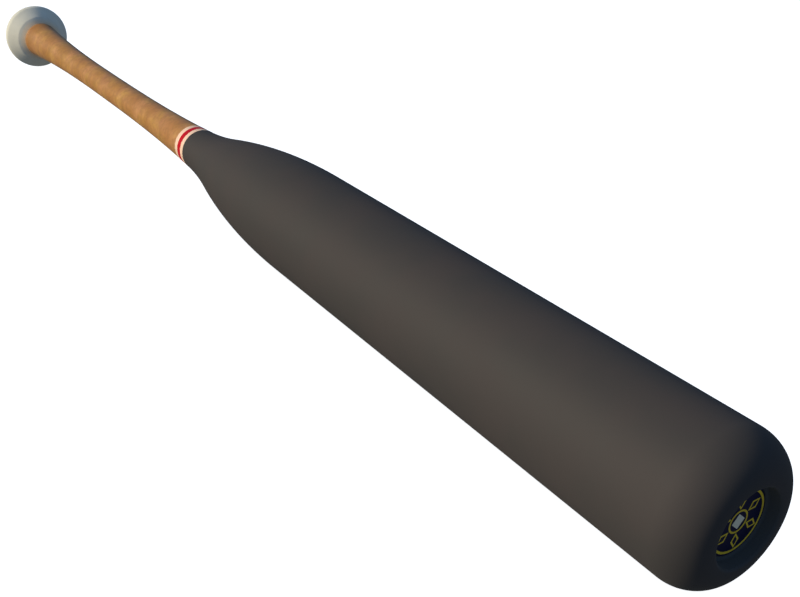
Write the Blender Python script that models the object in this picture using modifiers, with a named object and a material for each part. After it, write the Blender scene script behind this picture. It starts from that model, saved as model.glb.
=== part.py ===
"""Turned wooden baseball bat: one billet with a painted knob, three rings, a dark
dipped barrel and a printed disc in the cup at the barrel end.

Units are metres. The turning axis is world +X, from the centre of the knob's end face
at the origin to the barrel end. Every piece is a profile (radius, distance from the
knob end) that a Screw modifier turns once round that axis.
"""

import math

import bmesh
import bpy
from mathutils import Matrix, Vector

# Length over all
BAT_LENGTH = 0.838

# Knob
KNOB_END_FLAT_DIAMETER = 0.032
KNOB_DIAMETER = 0.0560
KNOB_END_TO_WIDEST = 0.0125
KNOB_RIM_ROUNDING = 0.0060
KNOB_WIDEST_TO_CREASE = 0.0120
KNOB_CREASE_DIAMETER = 0.0409
KNOB_CREASE_TO_HANDLE = 0.0038

# Handle
HANDLE_ROOT_DIAMETER = 0.0304
HANDLE_WAIST_DIAMETER = 0.0205
HANDLE_RING_DIAMETER = 0.0267
HANDLE_ROOT_TO_WAIST = 0.1655
HANDLE_WAIST_TO_RINGS = 0.1764
ROOT_FLARE_POWER = 2.30
FORE_SWELL_POWER = 2.94

# Rings at the end of the dark coat
RING_HANDLE_SIDE_WIDTH = 0.0046
RING_CENTRE_WIDTH = 0.0052
RING_BARREL_SIDE_WIDTH = 0.0044

# Throat, a hollow arc that turns over into a swelling one
THROAT_HOLLOW_RADIUS = 0.262
THROAT_SWELL_RADIUS = 0.501

# Barrel
BARREL_START_DIAMETER = 0.0635
BARREL_DIAMETER = 0.0661
BARREL_END_ROUNDING = 0.0168
BARREL_RIM_WIDTH = 0.00115

# Cup in the barrel end
CUP_MOUTH_DIAMETER = 0.0335
CUP_DEPTH = 0.0058
CUP_WALL_DRAFT = 0.0008
CUP_FILLET = 0.0014

# Coats and the disc on the cup floor
COAT_THICKNESS = 0.0004
COAT_CLEARANCE = 0.0003
DISC_THICKNESS = 0.0003
DISC_MARGIN = 0.00025

# Fineness of the solids
SIDES = 48
POINTS_ON_KNOB_BACK = 7
POINTS_ON_KNOB_RIM = 4
POINTS_ON_HANDLE_FLARE = 8
POINTS_ON_HANDLE_SWELL = 6
POINTS_ON_THROAT_ARC = 6
POINTS_ON_END_ROUNDING = 8
POINTS_ON_CUP_FILLET = 3
SMOOTHING_ANGLE = math.radians(32)
MERGE_DISTANCE = 0.00001

# Places along the axis, from the knob end
CREASE_AT = KNOB_END_TO_WIDEST + KNOB_WIDEST_TO_CREASE
ROOT_AT = CREASE_AT + KNOB_CREASE_TO_HANDLE
WAIST_AT = ROOT_AT + HANDLE_ROOT_TO_WAIST
RINGS_AT = WAIST_AT + HANDLE_WAIST_TO_RINGS
RING_CENTRE_AT = RINGS_AT + RING_HANDLE_SIDE_WIDTH
RING_BARREL_SIDE_AT = RING_CENTRE_AT + RING_CENTRE_WIDTH
THROAT_AT = RING_BARREL_SIDE_AT + RING_BARREL_SIDE_WIDTH
ROUNDING_AT = BAT_LENGTH - BARREL_END_ROUNDING
CUP_FLOOR_AT = BAT_LENGTH - CUP_DEPTH

# Radii in the cup
CUP_MOUTH_RADIUS = CUP_MOUTH_DIAMETER / 2
CUP_FOOT_RADIUS = CUP_MOUTH_RADIUS - CUP_WALL_DRAFT
CUP_FLOOR_RADIUS = CUP_FOOT_RADIUS - CUP_FILLET

# Under a coat the wood is turned down by the coat and its clearance
RECESS = COAT_THICKNESS + COAT_CLEARANCE

COLOURS = {
    "billet": ((0.52, 0.30, 0.13, 1.0), 0.45),
    "knob_paint": ((0.78, 0.74, 0.64, 1.0), 0.40),
    "ring_handle_side": ((0.92, 0.80, 0.60, 1.0), 0.40),
    "ring_centre": ((0.60, 0.02, 0.03, 1.0), 0.40),
    "ring_barrel_side": ((0.92, 0.80, 0.60, 1.0), 0.40),
    "barrel_lacquer": ((0.045, 0.038, 0.035, 1.0), 0.50),
    "cup_disc": ((0.01, 0.02, 0.12, 1.0), 0.35),
}


def even_steps(count):
    """Fractions from 0 to 1 in the given number of equal steps."""
    return [step / count for step in range(count + 1)]


def handle_radius(distance):
    """Radius of the handle, from its root at the knob to the end of the rings."""
    waist = HANDLE_WAIST_DIAMETER / 2
    if distance < WAIST_AT:
        share = (WAIST_AT - distance) / HANDLE_ROOT_TO_WAIST
        return waist + (HANDLE_ROOT_DIAMETER / 2 - waist) * share ** ROOT_FLARE_POWER
    share = (distance - WAIST_AT) / HANDLE_WAIST_TO_RINGS
    return waist + (HANDLE_RING_DIAMETER / 2 - waist) * share ** FORE_SWELL_POWER


def swell_slope(distance):
    """Slope of the handle's outline between the waist and the end of the rings."""
    rise = (HANDLE_RING_DIAMETER - HANDLE_WAIST_DIAMETER) / 2
    share = (distance - WAIST_AT) / HANDLE_WAIST_TO_RINGS
    return rise * FORE_SWELL_POWER * share ** (FORE_SWELL_POWER - 1) / HANDLE_WAIST_TO_RINGS


def knob_outline():
    """Knob from the centre of its end face to the root of the handle.

    In front of the rounded rim a straight slope runs to the crease, tangent to the rim,
    and a steeper straight shoulder runs on to the handle.
    """
    flat = KNOB_END_FLAT_DIAMETER / 2
    widest = KNOB_DIAMETER / 2
    crease = KNOB_CREASE_DIAMETER / 2
    outline = [(0.0, 0.0)]
    for share in even_steps(POINTS_ON_KNOB_BACK):
        angle = share * math.pi / 2
        radius = flat + (widest - flat) * math.sin(angle)
        outline.append((radius, KNOB_END_TO_WIDEST * (1 - math.cos(angle))))
    inward = widest - KNOB_RIM_ROUNDING - crease
    reach = math.hypot(KNOB_WIDEST_TO_CREASE, inward)
    slope = math.atan2(inward, KNOB_WIDEST_TO_CREASE) + math.asin(KNOB_RIM_ROUNDING / reach)
    for share in even_steps(POINTS_ON_KNOB_RIM)[1:]:
        angle = share * slope
        radius = widest - KNOB_RIM_ROUNDING * (1 - math.cos(angle))
        outline.append((radius, KNOB_END_TO_WIDEST + KNOB_RIM_ROUNDING * math.sin(angle)))
    outline.append((crease, CREASE_AT))
    outline.append((HANDLE_ROOT_DIAMETER / 2, ROOT_AT))
    return outline


def handle_outline(start, end):
    """Bare handle between two distances from the knob end."""
    flare = [start + (WAIST_AT - start) * share for share in even_steps(POINTS_ON_HANDLE_FLARE)]
    swell = [WAIST_AT + (end - WAIST_AT) * share for share in even_steps(POINTS_ON_HANDLE_SWELL)]
    return [(handle_radius(distance), distance) for distance in flare + swell[1:]]


def throat_outline():
    """Two tangent arcs from the end of the rings to the start of the barrel."""
    start_radius = handle_radius(THROAT_AT)
    start_angle = math.atan(swell_slope(THROAT_AT))
    rise = BARREL_START_DIAMETER / 2 - start_radius
    reach = THROAT_HOLLOW_RADIUS * math.cos(start_angle) + THROAT_SWELL_RADIUS - rise
    turn_angle = math.acos(reach / (THROAT_HOLLOW_RADIUS + THROAT_SWELL_RADIUS))
    outline = []
    for share in even_steps(POINTS_ON_THROAT_ARC):
        angle = start_angle + (turn_angle - start_angle) * share
        radius = start_radius + THROAT_HOLLOW_RADIUS * (math.cos(start_angle) - math.cos(angle))
        distance = THROAT_AT + THROAT_HOLLOW_RADIUS * (math.sin(angle) - math.sin(start_angle))
        outline.append((radius, distance))
    turn_radius, turn_at = outline[-1]
    for share in even_steps(POINTS_ON_THROAT_ARC)[1:]:
        angle = turn_angle * (1 - share)
        radius = turn_radius + THROAT_SWELL_RADIUS * (math.cos(angle) - math.cos(turn_angle))
        distance = turn_at + THROAT_SWELL_RADIUS * (math.sin(turn_angle) - math.sin(angle))
        outline.append((radius, distance))
    return outline


def barrel_end_outline():
    """Rounded barrel end, its narrow rim and the cup, to the centre of the cup floor."""
    barrel = BARREL_DIAMETER / 2
    rim = CUP_MOUTH_RADIUS + BARREL_RIM_WIDTH
    outline = []
    for share in even_steps(POINTS_ON_END_ROUNDING):
        angle = share * math.pi / 2
        radius = rim + (barrel - rim) * math.cos(angle)
        outline.append((radius, ROUNDING_AT + BARREL_END_ROUNDING * math.sin(angle)))
    outline.append((CUP_MOUTH_RADIUS, BAT_LENGTH))
    for share in even_steps(POINTS_ON_CUP_FILLET):
        angle = share * math.pi / 2
        radius = CUP_FLOOR_RADIUS + CUP_FILLET * math.cos(angle)
        outline.append((radius, CUP_FLOOR_AT + CUP_FILLET * (1 - math.sin(angle))))
    outline.append((0.0, CUP_FLOOR_AT))
    return outline


def inset(outline, depth):
    """The outline moved into the wood by a depth, with mitred corners.

    The outline runs from the knob end to the cup floor, so the wood lies on the side
    that this function moves to. A point on the axis stays on it.
    """
    points = [Vector(point) for point in outline]
    normals = []
    for first, second in zip(points, points[1:]):
        run = (second - first).normalized()
        normals.append(Vector((-run.y, run.x)))
    moved = []
    for index, point in enumerate(points):
        before = normals[max(index - 1, 0)]
        after = normals[min(index, len(normals) - 1)]
        place = point + (before + after) * depth / (1 + before.dot(after))
        moved.append((place.x, place.y))
    return moved


def turned(name, outline, closed, collection, axis):
    """Turn an outline, given from the knob end to the barrel end, into one solid.

    The flat sides touch the true circle, so a diameter is the size across the flats.
    """
    to_corners = 1 / math.cos(math.pi / SIDES)
    profile = bmesh.new()
    downwards = []
    for radius, distance in reversed(outline):
        downwards.append(profile.verts.new((radius * to_corners, 0.0, distance)))
    for first, second in zip(downwards, downwards[1:]):
        profile.edges.new((first, second))
    if closed:
        profile.edges.new((downwards[-1], downwards[0]))
    mesh = bpy.data.meshes.new(name + "_profile")
    profile.to_mesh(mesh)
    profile.free()
    blank = bpy.data.objects.new(name + "_profile", mesh)
    collection.objects.link(blank)

    screw = blank.modifiers.new("turning", "SCREW")
    screw.axis = "Z"
    screw.angle = math.tau
    screw.steps = SIDES
    screw.render_steps = SIDES
    screw.use_merge_vertices = True
    screw.merge_threshold = MERGE_DISTANCE

    bpy.context.view_layer.update()
    finished = blank.evaluated_get(bpy.context.evaluated_depsgraph_get())
    body = bpy.data.meshes.new_from_object(finished)
    body.name = name
    bpy.data.objects.remove(blank)
    body.shade_smooth()
    body.set_sharp_from_angle(angle=SMOOTHING_ANGLE)
    body.materials.append(finish(name))
    piece = bpy.data.objects.new(name, body)
    collection.objects.link(piece)
    piece.parent = axis
    return piece


def finish(name):
    """Principled material in the piece's colour."""
    colour, roughness = COLOURS[name]
    material = bpy.data.materials.new(name)
    material.use_nodes = True
    shader = material.node_tree.nodes["Principled BSDF"]
    shader.inputs["Base Color"].default_value = colour
    shader.inputs["Roughness"].default_value = roughness
    shader.inputs["Metallic"].default_value = 0.0
    return material


def coat(name, outline, collection, axis):
    """A coat from the finished surface down to its own thickness."""
    inner = inset(outline, COAT_THICKNESS)
    inner.reverse()
    if outline[0][0] == 0.0:
        return turned(name, outline + inner, False, collection, axis)
    if outline[-1][0] == 0.0:
        return turned(name, inner + outline, False, collection, axis)
    return turned(name, outline + inner, True, collection, axis)


def stopped_short(outline, length):
    """The outline with its last point drawn back along the surface."""
    last, before = Vector(outline[-1]), Vector(outline[-2])
    place = last + (before - last).normalized() * length
    return outline[:-1] + [(place.x, place.y)]


def ring_outline(start, end):
    """Surface of one ring, half a clearance short of its nominal edges."""
    low = start + COAT_CLEARANCE / 2
    high = end - COAT_CLEARANCE / 2
    return [(handle_radius(low), low), (handle_radius(high), high)]


def build():
    """Make the bat's pieces on one turning axis."""
    for item in list(bpy.data.objects):
        bpy.data.objects.remove(item)

    bat = bpy.data.collections.new("wooden_bat")
    bpy.context.scene.collection.children.link(bat)
    axis = bpy.data.objects.new("turning_axis", None)
    bat.objects.link(axis)
    half_side = math.pi / SIDES
    axis.matrix_world = Matrix.Rotation(half_side, 4, "X") @ Matrix.Rotation(math.pi / 2, 4, "Y")

    knob = knob_outline()
    barrel = throat_outline() + barrel_end_outline()
    lacquer_start = THROAT_AT + COAT_CLEARANCE / 2
    lacquered = [(handle_radius(lacquer_start), lacquer_start)] + barrel[1:]

    ring_wood = [(handle_radius(RINGS_AT) - RECESS, RINGS_AT - COAT_CLEARANCE / 2)]
    barrel_wood = inset(barrel, RECESS)
    handle_end = RINGS_AT - COAT_CLEARANCE / 2
    wood = inset(knob, RECESS) + handle_outline(ROOT_AT, handle_end) + ring_wood + barrel_wood
    turned("billet", wood, False, bat, axis)

    coat("knob_paint", stopped_short(knob, COAT_CLEARANCE), bat, axis)
    coat("ring_handle_side", ring_outline(RINGS_AT, RING_CENTRE_AT), bat, axis)
    coat("ring_centre", ring_outline(RING_CENTRE_AT, RING_BARREL_SIDE_AT), bat, axis)
    coat("ring_barrel_side", ring_outline(RING_BARREL_SIDE_AT, THROAT_AT), bat, axis)
    coat("barrel_lacquer", lacquered, bat, axis)

    disc_floor = CUP_FLOOR_AT + COAT_CLEARANCE
    disc_face = disc_floor + DISC_THICKNESS
    disc_edge = CUP_FLOOR_RADIUS - DISC_MARGIN
    disc = [(0.0, disc_floor), (disc_edge, disc_floor), (disc_edge, disc_face), (0.0, disc_face)]
    turned("cup_disc", disc, False, bat, axis)
    bpy.context.view_layer.update()


build()
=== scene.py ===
import math

import bmesh
import bpy
from mathutils import Matrix, Vector


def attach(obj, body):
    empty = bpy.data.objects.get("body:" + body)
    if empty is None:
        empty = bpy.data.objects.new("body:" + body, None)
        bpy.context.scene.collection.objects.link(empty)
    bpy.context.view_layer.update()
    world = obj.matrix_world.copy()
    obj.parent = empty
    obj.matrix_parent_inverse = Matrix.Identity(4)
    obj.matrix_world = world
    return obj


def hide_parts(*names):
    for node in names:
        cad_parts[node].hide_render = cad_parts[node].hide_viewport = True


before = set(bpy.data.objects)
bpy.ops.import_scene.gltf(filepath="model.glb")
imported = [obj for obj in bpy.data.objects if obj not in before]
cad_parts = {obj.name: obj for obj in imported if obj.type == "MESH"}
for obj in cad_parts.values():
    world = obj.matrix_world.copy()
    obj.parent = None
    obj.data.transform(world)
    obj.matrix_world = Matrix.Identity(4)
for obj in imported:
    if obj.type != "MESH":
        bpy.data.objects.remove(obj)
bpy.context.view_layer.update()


# The billet: one stick of pale, hard, close-grained wood, turned between centres and
# sanded. It runs from the knob to the cup. Only the handle is left bare, under a thin
# satin clear coat, and the wood is a little lower wherever paint covers it.
BAT_LENGTH = 0.838
ROOT_AT, ROOT_RADIUS = 0.0283, 0.0152
WAIST_AT, WAIST_RADIUS = 0.1938, 0.01025
RINGS_AT, RINGS_RADIUS = 0.3702, 0.01335
THROAT_AT = 0.3844
ROOT_FLARE_POWER, FORE_SWELL_POWER = 2.3, 2.94
UNDER_PAINT = 0.00045
SHOULDER_FOOT = (0.0280, 0.01485)
BARE_FROM = ROOT_AT + 0.00003


def steps(count):
    """Shares from 0 to 1 in equal steps."""
    return [step / count for step in range(count + 1)]


def handle_radius(at):
    """The handle flares from its waist to the knob and swells from it to the rings."""
    if at < WAIST_AT:
        share = (WAIST_AT - at) / (WAIST_AT - ROOT_AT)
        return WAIST_RADIUS + (ROOT_RADIUS - WAIST_RADIUS) * share ** ROOT_FLARE_POWER
    share = (at - WAIST_AT) / (RINGS_AT - WAIST_AT)
    return WAIST_RADIUS + (RINGS_RADIUS - WAIST_RADIUS) * share ** FORE_SWELL_POWER


def handle_slope(at):
    """The slope of the fore-swell, for the throat to start on."""
    share = (at - WAIST_AT) / (RINGS_AT - WAIST_AT)
    steepness = (RINGS_RADIUS - WAIST_RADIUS) * FORE_SWELL_POWER / (RINGS_AT - WAIST_AT)
    return steepness * share ** (FORE_SWELL_POWER - 1)


# The knob is turned with a flat end, a rounded back and rim, a straight slope in front,
# and a steeper shoulder that runs down to the root of the handle.
KNOB_FLAT_RADIUS, KNOB_RADIUS, KNOB_WIDEST_AT = 0.016, 0.0280, 0.0125
KNOB_RIM_RADIUS = 0.006
CREASE_AT, CREASE_RADIUS = 0.0245, 0.02045


def knob_outline():
    """Places along the bat and radii, from the middle of the end to the crease."""
    outline = [(0.0, 0.0)]
    for share in steps(30):
        turn = share * math.pi / 2
        outline.append((
            KNOB_WIDEST_AT * (1 - math.cos(turn)),
            KNOB_FLAT_RADIUS + (KNOB_RADIUS - KNOB_FLAT_RADIUS) * math.sin(turn),
        ))
    along = CREASE_AT - KNOB_WIDEST_AT
    inward = KNOB_RADIUS - KNOB_RIM_RADIUS - CREASE_RADIUS
    slope = math.atan2(inward, along) + math.asin(KNOB_RIM_RADIUS / math.hypot(along, inward))
    for share in steps(12)[1:]:
        turn = share * slope
        outline.append((
            KNOB_WIDEST_AT + KNOB_RIM_RADIUS * math.sin(turn),
            KNOB_RADIUS - KNOB_RIM_RADIUS * (1 - math.cos(turn)),
        ))
    outline.append((CREASE_AT, CREASE_RADIUS))
    return outline


# The throat is a hollow arc that turns over into a swelling one. The barrel is nearly
# straight, and its rounded end has a shallow cup cut in it.
THROAT_HOLLOW_RADIUS, THROAT_SWELL_RADIUS = 0.262, 0.501
BARREL_START_RADIUS, BARREL_RADIUS = 0.03175, 0.03305
END_ROUNDING, RIM_RADIUS = 0.0168, 0.0179
ROUNDING_AT = BAT_LENGTH - END_ROUNDING
CUP_MOUTH_RADIUS, CUP_FOOT_RADIUS, CUP_FILLET = 0.01675, 0.01595, 0.0014
CUP_FLOOR_AT = 0.8322


def throat_outline():
    """From the end of the rings to the start of the barrel."""
    start = handle_radius(THROAT_AT)
    first = math.atan(handle_slope(THROAT_AT))
    reach = THROAT_HOLLOW_RADIUS * math.cos(first) + THROAT_SWELL_RADIUS
    reach -= BARREL_START_RADIUS - start
    steepest = math.acos(reach / (THROAT_HOLLOW_RADIUS + THROAT_SWELL_RADIUS))
    outline = []
    for share in steps(40):
        turn = first + (steepest - first) * share
        outline.append((
            THROAT_AT + THROAT_HOLLOW_RADIUS * (math.sin(turn) - math.sin(first)),
            start + THROAT_HOLLOW_RADIUS * (math.cos(first) - math.cos(turn)),
        ))
    turn_at, turn_radius = outline[-1]
    for share in steps(40)[1:]:
        turn = steepest * (1 - share)
        outline.append((
            turn_at + THROAT_SWELL_RADIUS * (math.sin(steepest) - math.sin(turn)),
            turn_radius + THROAT_SWELL_RADIUS * (math.cos(turn) - math.cos(steepest)),
        ))
    return outline


def barrel_outline():
    """From the end of the rings over the barrel's end to the middle of the cup floor."""
    outline = throat_outline()
    start_at = outline[-1][0]
    for share in steps(24)[1:-1]:
        outline.append((
            start_at + (ROUNDING_AT - start_at) * share,
            BARREL_START_RADIUS + (BARREL_RADIUS - BARREL_START_RADIUS) * share,
        ))
    for share in steps(40):
        turn = share * math.pi / 2
        outline.append((
            ROUNDING_AT + END_ROUNDING * math.sin(turn),
            RIM_RADIUS + (BARREL_RADIUS - RIM_RADIUS) * math.cos(turn),
        ))
    outline.append((BAT_LENGTH, CUP_MOUTH_RADIUS))
    for share in steps(10):
        turn = share * math.pi / 2
        outline.append((
            CUP_FLOOR_AT + CUP_FILLET * (1 - math.sin(turn)),
            CUP_FOOT_RADIUS - CUP_FILLET * (1 - math.cos(turn)),
        ))
    outline.append((CUP_FLOOR_AT, 0.0))
    return outline


def below(outline, depth):
    """The outline moved into the wood, with mitred corners."""
    points = [Vector(point) for point in outline]
    runs = [(b - a).normalized() for a, b in zip(points, points[1:])]
    sides = [Vector((run.y, -run.x)) for run in runs]
    moved = []
    for index, point in enumerate(points):
        before = sides[max(index - 1, 0)]
        after = sides[min(index, len(sides) - 1)]
        place = point + (before + after) * depth / (1 + before.dot(after))
        moved.append((place.x, place.y))
    return moved


# Turning: each piece starts as half a section and is spun once round the bat's axis. Its
# sharp turned edges are eased a little, as sanding and the brush leave them.
FACETS_AROUND = 160
EDGE_SEGMENTS = 4
MERGE_WITHIN = 0.000001
SHARP_ANGLE = math.radians(35)


def set_in_place(work, name, material, nodes=()):
    """Make the piece of a finished bmesh and let it ride on the bat."""
    bmesh.ops.recalc_face_normals(work, faces=work.faces)
    mesh = bpy.data.meshes.new(name)
    work.to_mesh(mesh)
    work.free()
    mesh.materials.append(material)
    piece = bpy.data.objects.new(name, mesh)
    bpy.context.scene.collection.objects.link(piece)
    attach(piece, "root")
    if nodes:
        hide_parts(*nodes)
    return piece


def turned_edges(work, at, radius):
    """The ring of edges that one point of an outline was turned into."""
    def on_ring(corner):
        off_ring = math.hypot(corner.co.y, corner.co.z) - radius
        return max(abs(corner.co.x - at), abs(off_ring)) < 2 * MERGE_WITHIN

    return [edge for edge in work.edges if all(on_ring(corner) for corner in edge.verts)]


def turned(name, outline, nodes, material, soften=(), closed=False, around=FACETS_AROUND):
    """Turn an outline of (place along the bat, radius), in place of the nodes it stands for.

    soften lists (index in the outline, width) of turned edges to round off.
    """
    work = bmesh.new()
    points = [work.verts.new((at, 0.0, radius)) for at, radius in outline]
    edges = [work.edges.new(pair) for pair in zip(points, points[1:])]
    if closed:
        edges.append(work.edges.new((points[-1], points[0])))
    bmesh.ops.spin(
        work, geom=points + edges, cent=(0, 0, 0), axis=(1, 0, 0), angle=math.tau,
        steps=around, use_merge=True, use_duplicate=False,
    )
    bmesh.ops.remove_doubles(work, verts=work.verts, dist=MERGE_WITHIN)
    for index, width in soften:
        bmesh.ops.bevel(
            work, geom=turned_edges(work, *outline[index]), offset=width, offset_type="OFFSET",
            affect="EDGES", segments=EDGE_SEGMENTS, profile=0.5, material=-1,
        )
    piece = set_in_place(work, name, material, nodes)
    piece.data.shade_smooth()
    piece.data.set_sharp_from_angle(angle=SHARP_ANGLE)
    return piece


# The wood's finish: honey-coloured and mottled, with soft curl bands across the grain,
# small flecks and long streaks along it. Its root is painted darker and redder next to the
# knob, painted shade where the handle meets it. A thin haze of the knob's paint is left on
# its first millimetres.
DARK_HONEY, HONEY, PALE_HONEY = (0.340, 0.164, 0.050), (0.484, 0.251, 0.081), (0.628, 0.341, 0.119)
GOLDEN, ROSY = (0.49, 0.277, 0.041), (0.50, 0.213, 0.099)
TINTED, BANDED, FLECKED, STREAKED = 0.45, 0.58, 0.50, 0.22
CURL_BROWN, FLECK_BROWN, STREAK_BROWN = (0.38, 0.165, 0.038), (0.30, 0.140, 0.040), (0.36, 0.18, 0.055)
ROOT_SHADE_BROWN, ROOT_SHADE_TO, ROOT_SHADED = (0.33, 0.135, 0.038), 0.058, 0.60
PAINT_HAZE, HAZE_TO, HAZED = (0.62, 0.48, 0.34), 0.031, 0.30


def start_finish(name, specular):
    """A new finish: its material, node tree, shader, and the piece's own coordinates."""
    material = bpy.data.materials.new(name)
    material.use_nodes = True
    tree = material.node_tree
    shader = tree.nodes["Principled BSDF"]
    shader.inputs["Specular IOR Level"].default_value = specular
    place = tree.nodes.new("ShaderNodeTexCoord").outputs["Object"]
    return material, tree, shader, place


def noise(tree, place, per_metre, detail, roughness, turn=(0, 0, 0)):
    """Cloudy noise of so many spots in a metre along, across and up."""
    mapping = tree.nodes.new("ShaderNodeMapping")
    mapping.inputs["Scale"].default_value = per_metre
    mapping.inputs["Rotation"].default_value = turn
    tree.links.new(place, mapping.inputs["Vector"])
    texture = tree.nodes.new("ShaderNodeTexNoise")
    texture.inputs["Scale"].default_value = 1.0
    texture.inputs["Detail"].default_value = detail
    texture.inputs["Roughness"].default_value = roughness
    tree.links.new(mapping.outputs["Vector"], texture.inputs["Vector"])
    return texture.outputs["Fac"]


def shades(tree, value, stops):
    """A soft ramp from a value to colours, given as (place, colour)."""
    ramp = tree.nodes.new("ShaderNodeValToRGB")
    ramp.color_ramp.interpolation = "EASE"
    while len(ramp.color_ramp.elements) < len(stops):
        ramp.color_ramp.elements.new(0.5)
    for element, (where, colour) in zip(ramp.color_ramp.elements, stops):
        element.position = where
        element.color = (*colour, 1.0)
    tree.links.new(value, ramp.inputs["Fac"])
    return ramp.outputs["Color"]


def blend(tree, share, first, second):
    """The first colour turned into the second by a share, a number or a socket."""
    mix = tree.nodes.new("ShaderNodeMix")
    mix.data_type = "RGBA"
    if isinstance(share, float):
        mix.inputs["Factor"].default_value = share
    else:
        tree.links.new(share, mix.inputs["Factor"])
    for socket, colour in (("A", first), ("B", second)):
        target = [s for s in mix.inputs if s.name == socket and s.type == "RGBA"][0]
        if isinstance(colour, tuple):
            target.default_value = (*colour, 1.0)
        else:
            tree.links.new(colour, target)
    return [s for s in mix.outputs if s.type == "RGBA"][0]


def fade(tree, value, between, levels):
    """The first level up to one value, the second from another, even in between."""
    node = tree.nodes.new("ShaderNodeMapRange")
    node.inputs["From Min"].default_value, node.inputs["From Max"].default_value = between
    node.inputs["To Min"].default_value, node.inputs["To Max"].default_value = levels
    tree.links.new(value, node.inputs["Value"])
    return node.outputs["Result"]


def along_bat(tree, place):
    """The place along the bat, from the knob end."""
    parts = tree.nodes.new("ShaderNodeSeparateXYZ")
    tree.links.new(place, parts.inputs["Vector"])
    return parts.outputs["X"]


def bump(tree, shader, height, strength, distance):
    """Fine relief on a finish."""
    node = tree.nodes.new("ShaderNodeBump")
    node.inputs["Strength"].default_value = strength
    node.inputs["Distance"].default_value = distance
    tree.links.new(height, node.inputs["Height"])
    tree.links.new(node.outputs["Normal"], shader.inputs["Normal"])


def curl_bands(tree, place):
    """Bands across the grain about 39 mm apart, bent by the lie of the wood."""
    curl = tree.nodes.new("ShaderNodeTexWave")
    curl.inputs["Scale"].default_value = 8.0
    curl.inputs["Distortion"].default_value = 3.0
    curl.inputs["Detail"].default_value = 2.0
    curl.inputs["Detail Scale"].default_value = 3.5
    tree.links.new(place, curl.inputs["Vector"])
    return curl.outputs["Fac"]


def handle_wood():
    material, tree, shader, place = start_finish("handle_wood", specular=0.25)
    mottle = noise(tree, place, (105, 62, 62), detail=4.0, roughness=0.6, turn=(0, 0.5, 0.6))
    wood = shades(tree, mottle, [(0.32, DARK_HONEY), (0.50, HONEY), (0.68, PALE_HONEY)])
    tint = noise(tree, place, (70, 75, 75), detail=3.0, roughness=0.6, turn=(0.4, 0.3, 1.1))
    golden = blend(tree, TINTED, wood, GOLDEN)
    rosy = blend(tree, TINTED, wood, ROSY)
    wood = blend(tree, fade(tree, tint, (0.38, 0.62), (0.0, 1.0)), golden, rosy)
    bands = fade(tree, curl_bands(tree, place), (0.0, 1.0), (BANDED, 0.0))
    wood = blend(tree, bands, wood, CURL_BROWN)
    fleck = noise(tree, place, (330, 280, 280), detail=3.0, roughness=0.6, turn=(0, 0.35, 0.5))
    wood = blend(tree, fade(tree, fleck, (0.44, 0.64), (0.0, FLECKED)), wood, FLECK_BROWN)
    streak = noise(tree, place, (5, 260, 260), detail=3.0, roughness=0.6)
    wood = blend(tree, fade(tree, streak, (0.45, 0.75), (0.0, STREAKED)), wood, STREAK_BROWN)
    along = along_bat(tree, place)
    # Painted shade: the wood is darker and redder at the root, next to the knob.
    wood = blend(tree, fade(tree, along, (ROOT_AT, ROOT_SHADE_TO), (ROOT_SHADED, 0.0)), wood, ROOT_SHADE_BROWN)
    wood = blend(tree, fade(tree, along, (ROOT_AT, HAZE_TO), (HAZED, 0.0)), wood, PAINT_HAZE)
    tree.links.new(wood, shader.inputs["Base Color"])
    tree.links.new(fade(tree, mottle, (0.3, 0.7), (0.38, 0.50)), shader.inputs["Roughness"])
    bump(tree, shader, fleck, strength=0.15, distance=0.00004)
    shader.inputs["Coat Weight"].default_value = 0.15
    shader.inputs["Coat Roughness"].default_value = 0.35
    return material


knob_wood = [point for point in below(knob_outline(), UNDER_PAINT) if point[0] < SHOULDER_FOOT[0]]
bare_handle = []
for share in steps(150):
    at = BARE_FROM + (RINGS_AT - BARE_FROM) * share
    bare_handle.append((at, handle_radius(at)))
ring_bed = [(RINGS_AT, RINGS_RADIUS - UNDER_PAINT)]
barrel_wood = below(barrel_outline(), UNDER_PAINT)
turned(
    "billet", knob_wood + [SHOULDER_FOOT] + bare_handle + ring_bed + barrel_wood,
    ["billet"], handle_wood(),
)


# The knob's paint: off-white satin enamel, brushed over the whole knob and feathered
# out where the shoulder meets the bare handle, so that the wood warms its thin edge.
PAINT_THICKNESS = 0.0004
PAINT_PROUD = 0.00004
CREASE_SOFTNESS, END_SOFTNESS = 0.0005, 0.0008
SHADED_WHITE, OFF_WHITE = (0.79, 0.77, 0.665), (0.85, 0.83, 0.725)
WOOD_THROUGH_PAINT, THIN_FROM, THINNED = (0.94, 0.63, 0.34), 0.0254, 0.60


def knob_enamel():
    material, tree, shader, place = start_finish("knob_enamel", specular=0.3)
    cloud = noise(tree, place, (90, 90, 90), detail=3.0, roughness=0.5)
    white = shades(tree, cloud, [(0.35, SHADED_WHITE), (0.65, OFF_WHITE)])
    thin = fade(tree, along_bat(tree, place), (THIN_FROM, ROOT_AT), (0.0, THINNED))
    white = blend(tree, thin, white, WOOD_THROUGH_PAINT)
    tree.links.new(white, shader.inputs["Base Color"])
    tree.links.new(fade(tree, cloud, (0.3, 0.7), (0.56, 0.66)), shader.inputs["Roughness"])
    peel = noise(tree, place, (900, 900, 900), detail=2.0, roughness=0.4)
    bump(tree, shader, peel, strength=0.12, distance=0.00003)
    shader.inputs["Diffuse Roughness"].default_value = 0.25
    return material


knob_face = knob_outline() + [(ROOT_AT, ROOT_RADIUS + PAINT_PROUD)]
knob_back = list(reversed(below(knob_face, PAINT_THICKNESS)))
end_flat, crease = 1, len(knob_face) - 2
knob = turned(
    "knob_paint", knob_face + knob_back, ["knob_paint"], knob_enamel(),
    soften=[(crease, CREASE_SOFTNESS), (end_flat, END_SOFTNESS)],
)


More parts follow.
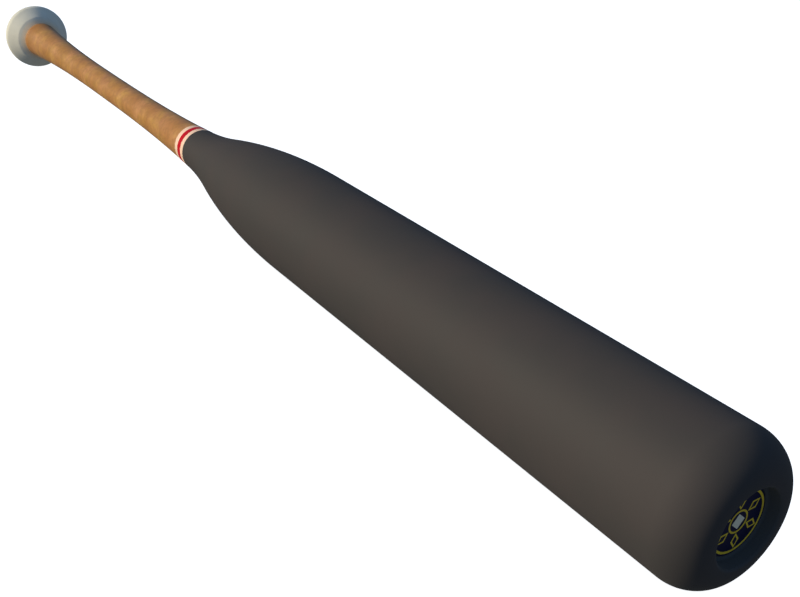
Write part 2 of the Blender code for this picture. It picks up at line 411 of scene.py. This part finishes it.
# The three rings: cream, red and cream bands of enamel, struck with a brush while the
# bat turned, each butted to the next and standing a hair above the wood.
RED_FROM, RED_TO = 0.3748, 0.3800
RING_PROUD, RING_EDGE, BUTT_GAP = 0.00006, 0.00008, 0.00001
CREAM, SHADED_CREAM = (0.90, 0.66, 0.51), (0.85, 0.59, 0.44)
RED, SHADED_RED = (0.55, 0.003, 0.011), (0.47, 0.002, 0.008)


def ring_enamel(name, colour, shaded):
    material, tree, shader, place = start_finish(name, specular=0.15)
    brush = noise(tree, place, (1600, 60, 60), detail=3.0, roughness=0.5)
    tree.links.new(shades(tree, brush, [(0.3, shaded), (0.6, colour)]), shader.inputs["Base Color"])
    tree.links.new(fade(tree, brush, (0.3, 0.7), (0.34, 0.44)), shader.inputs["Roughness"])
    bump(tree, shader, brush, strength=0.15, distance=0.00003)
    return material


def ring(name, start, end, enamel):
    low, high = start + BUTT_GAP, end - BUTT_GAP
    face = []
    for share in steps(6):
        at = low + (high - low) * share
        face.append((at, handle_radius(at) + RING_PROUD))
    bed = [(at, handle_radius(at) - PAINT_THICKNESS) for at in (high, low)]
    near_edge, far_edge = 0, len(face) - 1
    turned(
        name, face + bed, [name], enamel, closed=True,
        soften=[(near_edge, RING_EDGE), (far_edge, RING_EDGE)],
    )


cream_enamel = ring_enamel("cream_enamel", CREAM, SHADED_CREAM)
red_enamel = ring_enamel("red_enamel", RED, SHADED_RED)
ring("ring_handle_side", RINGS_AT, RED_FROM, cream_enamel)
ring("ring_centre", RED_FROM, RED_TO, red_enamel)
ring("ring_barrel_side", RED_TO, THROAT_AT, cream_enamel)


# The barrel's coat: the bat is dipped, cup end first, in a dark charcoal-brown lacquer
# that dries to a soft satin. It lines the cup as well, where its colour is painted a
# lighter, cooler grey: painted light in the shaded hollow.
LIP_SOFTNESS = 0.0010
CHARCOAL, WARM_CHARCOAL = (0.053, 0.049, 0.049), (0.058, 0.051, 0.051)
CUP_PAINTED_LIGHT = (0.085, 0.088, 0.090)
END_FROM, END_TO = 0.82, 0.83


def in_cup(tree, place):
    """1 inside the cup and 0 on the rest of the coat."""
    across = tree.nodes.new("ShaderNodeVectorMath")
    across.operation = "MULTIPLY"
    across.inputs[1].default_value = (0.0, 1.0, 1.0)
    tree.links.new(place, across.inputs[0])
    off_axis = tree.nodes.new("ShaderNodeVectorMath")
    off_axis.operation = "LENGTH"
    tree.links.new(across.outputs["Vector"], off_axis.inputs[0])
    within_rim = fade(tree, off_axis.outputs["Value"], (CUP_FOOT_RADIUS, RIM_RADIUS), (1.0, 0.0))
    at_end = fade(tree, along_bat(tree, place), (END_FROM, END_TO), (0.0, 1.0))
    both = tree.nodes.new("ShaderNodeMath")
    both.operation = "MULTIPLY"
    tree.links.new(within_rim, both.inputs[0])
    tree.links.new(at_end, both.inputs[1])
    return both.outputs["Value"]


def dipped_lacquer():
    material, tree, shader, place = start_finish("dipped_lacquer", specular=0.2)
    cloud = noise(tree, place, (28, 28, 28), detail=2.0, roughness=0.5)
    brown = shades(tree, cloud, [(0.35, CHARCOAL), (0.65, WARM_CHARCOAL)])
    # Painted light: inside the cup the lacquer is painted a lighter, cooler grey.
    brown = blend(tree, in_cup(tree, place), brown, CUP_PAINTED_LIGHT)
    tree.links.new(brown, shader.inputs["Base Color"])
    tree.links.new(fade(tree, cloud, (0.3, 0.7), (0.66, 0.74)), shader.inputs["Roughness"])
    peel = noise(tree, place, (420, 420, 420), detail=2.0, roughness=0.4)
    bump(tree, shader, peel, strength=0.12, distance=0.00003)
    shader.inputs["Diffuse Roughness"].default_value = 0.25
    return material


barrel_face = barrel_outline()
barrel_bed = list(reversed(below(barrel_face, PAINT_THICKNESS)))
cup_lip = len(barrel_bed) + barrel_face.index((BAT_LENGTH, CUP_MOUTH_RADIUS))
turned(
    "barrel_lacquer", barrel_bed + barrel_face, ["barrel_lacquer"], dipped_lacquer(),
    soften=[(cup_lip, LIP_SOFTNESS)],
)


# The disc on the cup floor: a thin film, printed navy and stuck flat to the lacquer that
# lines the cup. The edge of its face is eased all round.
DISC_BACK_AT, DISC_FACE_AT, DISC_RADIUS = 0.8325, 0.8328, 0.0143
DISC_EDGE = 0.0001
NAVY, WORN_NAVY = (0.009, 0.010, 0.048), (0.007, 0.008, 0.038)


def print_ink(name, colour, worn):
    material, tree, shader, place = start_finish(name, specular=0.1)
    cloud = noise(tree, place, (500, 500, 500), detail=3.0, roughness=0.6)
    tree.links.new(shades(tree, cloud, [(0.35, worn), (0.6, colour)]), shader.inputs["Base Color"])
    tree.links.new(fade(tree, cloud, (0.3, 0.7), (0.45, 0.6)), shader.inputs["Roughness"])
    bump(tree, shader, cloud, strength=0.1, distance=0.00002)
    return material


navy = print_ink("navy_ink", NAVY, WORN_NAVY)
disc = [
    (DISC_BACK_AT, 0.0), (DISC_BACK_AT, DISC_RADIUS), (DISC_FACE_AT, DISC_RADIUS), (DISC_FACE_AT, 0.0),
]
face_edge = 2
turned("cup_disc", disc, ["cup_disc"], navy, soften=[(face_edge, DISC_EDGE)])


# The disc's pattern: gold and cream inks printed over the navy in a plain ring of
# lozenges. The inks stand a few hundredths of a millimetre up from the film.
INK_THICKNESS, OVERPRINT, INK_SUNK = 0.00004, 0.00003, 0.00004
INK_RING_FACETS = 96
GOLD, WORN_GOLD = (0.92, 0.66, 0.05), (0.82, 0.56, 0.04)
CREAM_INK, WORN_CREAM_INK = (0.92, 0.86, 0.66), (0.84, 0.78, 0.58)
RING_OF_SIX_RADIUS = 0.0087


def ink_ring(name, ink, inner, outer):
    foot, face = DISC_FACE_AT - INK_SUNK, DISC_FACE_AT + INK_THICKNESS
    outline = [(foot, inner), (foot, outer), (face, outer), (face, inner)]
    turned(name, outline, [], ink, closed=True, around=INK_RING_FACETS)


def ink_lozenges(name, ink, long_half, wide_half, distance=0.0, count=1, thickness=INK_THICKNESS):
    """Lozenges of ink set evenly round the disc, points outward."""
    work = bmesh.new()
    for index in range(count):
        corners = bmesh.ops.create_circle(work, cap_ends=True, segments=4, radius=1.0)["verts"]
        bmesh.ops.scale(work, vec=(long_half, wide_half, 1.0), verts=corners)
        bmesh.ops.translate(work, vec=(distance, 0, 0), verts=corners)
        spoke = Matrix.Rotation(math.tau * index / count, 4, "Z")
        bmesh.ops.transform(work, matrix=spoke, verts=corners)
    grown = bmesh.ops.extrude_face_region(work, geom=work.faces[:])["geom"]
    tops = [item for item in grown if isinstance(item, bmesh.types.BMVert)]
    bmesh.ops.translate(work, vec=(0, 0, thickness + INK_SUNK), verts=tops)
    facing_out = Matrix.Rotation(math.pi / 2, 4, "Y")
    onto_disc = Matrix.Translation((DISC_FACE_AT - INK_SUNK, 0, 0)) @ facing_out
    bmesh.ops.transform(work, matrix=onto_disc, verts=work.verts)
    set_in_place(work, name, ink)


gold = print_ink("gold_ink", GOLD, WORN_GOLD)
cream = print_ink("cream_ink", CREAM_INK, WORN_CREAM_INK)
ink_ring("disc_ring_gold", gold, inner=0.0125, outer=0.0135)
ink_ring("disc_ring_inner_gold", gold, inner=0.0042, outer=0.0050)
ink_lozenges(
    "disc_lozenges_gold", gold, long_half=0.0034, wide_half=0.0022,
    distance=RING_OF_SIX_RADIUS, count=6,
)
ink_lozenges(
    "disc_lozenges_navy", navy, long_half=0.0022, wide_half=0.0013,
    distance=RING_OF_SIX_RADIUS, count=6, thickness=INK_THICKNESS + OVERPRINT,
)
ink_lozenges("disc_lozenge_cream", cream, long_half=0.0034, wide_half=0.0034)


# The floor: a plain white acrylic sheet that the bat lies on, lit from above and glowing
# from below. The barrel rests on it along its straight length, which slopes by a quarter
# of a degree to the bat's axis.
FLOOR_SIZE = 6.0
BARREL_STRAIGHT = 0.2872
FLOOR_LIGHT, FLOOR_GLOW = 0.45, 0.94
FLOOR_WHITE, FLOOR_SHADE = (0.89, 0.895, 0.90), (0.87, 0.875, 0.88)


def white_acrylic():
    material, tree, shader, place = start_finish("white_acrylic", specular=0.0)
    grain = noise(tree, place, (300, 300, 300), detail=2.0, roughness=0.5)
    white = shades(tree, grain, [(0.3, FLOOR_SHADE), (0.7, FLOOR_WHITE)])
    tree.links.new(white, shader.inputs["Base Color"])
    shader.inputs["Roughness"].default_value = 0.9
    shader.inputs["Emission Color"].default_value = (1.0, 1.0, 1.0, 1.0)
    shader.inputs["Emission Strength"].default_value = FLOOR_GLOW
    return material


slope = Matrix.Rotation(math.atan((BARREL_RADIUS - BARREL_START_RADIUS) / BARREL_STRAIGHT), 4, "Y")
touches = Matrix.Translation((ROUNDING_AT, 0, -BARREL_RADIUS))
sheet = bmesh.new()
bmesh.ops.create_grid(sheet, x_segments=2, y_segments=2, size=FLOOR_SIZE)
bmesh.ops.transform(sheet, matrix=touches @ slope, verts=sheet.verts)
floor_mesh = bpy.data.meshes.new("floor")
sheet.to_mesh(floor_mesh)
sheet.free()
floor_mesh.materials.append(white_acrylic())
floor = bpy.data.objects.new("floor", floor_mesh)
floor.visible_diffuse = False
floor.visible_glossy = False
floor.visible_shadow = False
bpy.context.scene.collection.objects.link(floor)


# The studio: a broad overhead panel lights the floor alone, a warm key comes low from
# the camera's left, a weak bounce comes up from below and behind, and a dim, cool
# surround fills the rest. The camera sees the surround as a pale backdrop.
GROUND_FILL, SKY_FILL = (0.135, 0.142, 0.142), (0.116, 0.192, 0.315)
BACKDROP = (0.96, 0.97, 0.98)
HORIZON = (-0.2, 0.2)


def all_but(*left_out):
    """A light's receivers: everything except some objects."""
    lit = bpy.data.collections.new("all_but_" + left_out[-1].name)
    for number, piece in enumerate(left_out):
        lit.objects.link(piece)
        lit.collection_objects[number].light_linking.link_state = "EXCLUDE"
    return lit


def studio_light(name, towards, strength, colour, spread, receivers):
    """A distant soft light that shines from a direction."""
    lamp = bpy.data.lights.new(name, "SUN")
    lamp.energy = strength
    lamp.color = colour
    lamp.angle = math.radians(spread)
    light = bpy.data.objects.new(name, lamp)
    light.rotation_euler = Vector(towards).to_track_quat("Z", "Y").to_euler()
    light.light_linking.receiver_collection = receivers
    bpy.context.scene.collection.objects.link(light)


floor_only = bpy.data.collections.new("floor_only")
floor_only.objects.link(floor)
studio_light(
    "overhead", towards=(0.0, 0.0, 1.0), strength=FLOOR_LIGHT, colour=(1.0, 1.0, 1.0),
    spread=120.0, receivers=floor_only,
)
studio_light(
    "key", towards=(-0.38, -0.8225, 0.456), strength=3.68, colour=(1.0, 0.88, 0.66),
    spread=12.0, receivers=all_but(floor),
)
studio_light(
    "bounce", towards=(-0.48, 0.63, -0.60), strength=1.2, colour=(0.95, 0.97, 1.0),
    spread=12.0, receivers=all_but(floor, knob),
)

surround = bpy.data.worlds.new("surround")
surround.use_nodes = True
tree = surround.node_tree
facing = tree.nodes.new("ShaderNodeTexCoord").outputs["Generated"]
parts = tree.nodes.new("ShaderNodeSeparateXYZ")
tree.links.new(facing, parts.inputs["Vector"])
height = fade(tree, parts.outputs["Z"], HORIZON, (0.0, 1.0))
fill = blend(tree, height, GROUND_FILL, SKY_FILL)
seen = tree.nodes.new("ShaderNodeLightPath").outputs["Is Camera Ray"]
tree.links.new(blend(tree, seen, fill, BACKDROP), tree.nodes["Background"].inputs["Color"])
bpy.context.scene.world = surround
bpy.context.scene.view_settings.view_transform = "Standard"


# The camera stands beyond the barrel end, to its right and above, and looks back along
# the bat to the knob.
CAMERA_AT = (0.9883, -0.2497, 0.2371)
CAMERA_LOOKS = (-0.72415, 0.49387, -0.48134)
LENS_MM, SENSOR_MM = 44.896, 36.0
NEAREST_SEEN = 0.01

camera_data = bpy.data.cameras.new("camera")
camera_data.lens = LENS_MM
camera_data.sensor_width = SENSOR_MM
camera_data.clip_start = NEAREST_SEEN
camera = bpy.data.objects.new("camera", camera_data)
camera.location = CAMERA_AT
camera.rotation_euler = Vector(CAMERA_LOOKS).to_track_quat("-Z", "Y").to_euler()
bpy.context.scene.collection.objects.link(camera)
bpy.context.scene.camera = camera
